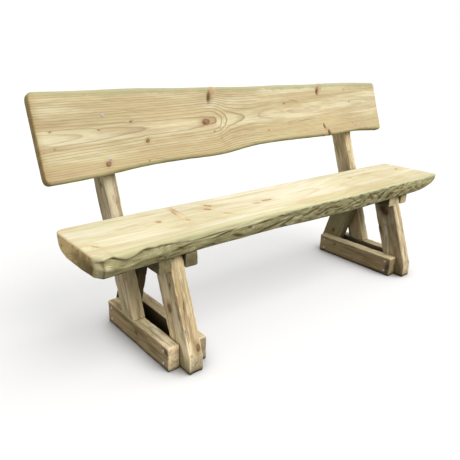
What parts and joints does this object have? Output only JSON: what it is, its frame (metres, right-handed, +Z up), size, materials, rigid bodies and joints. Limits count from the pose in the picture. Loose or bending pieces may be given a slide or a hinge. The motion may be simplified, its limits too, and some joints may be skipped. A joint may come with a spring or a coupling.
{
  "type": "backed garden bench",
  "caption": "Heavy timber garden bench with a waney-edged seat slab and sloping back board on splayed trestle ends, screwed together.",
  "frame": {"origin": "on the floor under the middle of the bench's bounding box", "axes": "+X along the bench to the sitter's left as seen from the front, that is the picture's right; +Y to the back; +Z up"},
  "size_m": [1.815, 0.6079, 0.8639],
  "materials": {
    "seat_timber": "sawn and sanded treated softwood, pale yellow-green",
    "board_timber": "sanded treated softwood, straw yellow with greenish edges",
    "frame_timber": "planed treated softwood, grey-brown to green",
    "screw_steel": "zinc plated"
  },
  "bodies": {
    "root": {"seat_slab": "seat_timber", "back_board": "board_timber", "front_leg_left": "frame_timber", "rear_leg_left": "frame_timber", "back_post_left": "frame_timber", "bottom_rail_left_outer": "frame_timber", "top_rail_left_outer": "frame_timber", "bottom_rail_left_inner": "frame_timber", "top_rail_left_inner": "frame_timber", "front_leg_right": "frame_timber", "rear_leg_right": "frame_timber", "back_post_right": "frame_timber", "bottom_rail_right_outer": "frame_timber", "top_rail_right_outer": "frame_timber", "bottom_rail_right_inner": "frame_timber", "top_rail_right_inner": "frame_timber", "bottom_rail_screws": "screw_steel", "top_rail_screws": "screw_steel", "seat_screws": "screw_steel", "post_screws": "screw_steel", "board_screws": "screw_steel"}
  },
  "joints": []
}
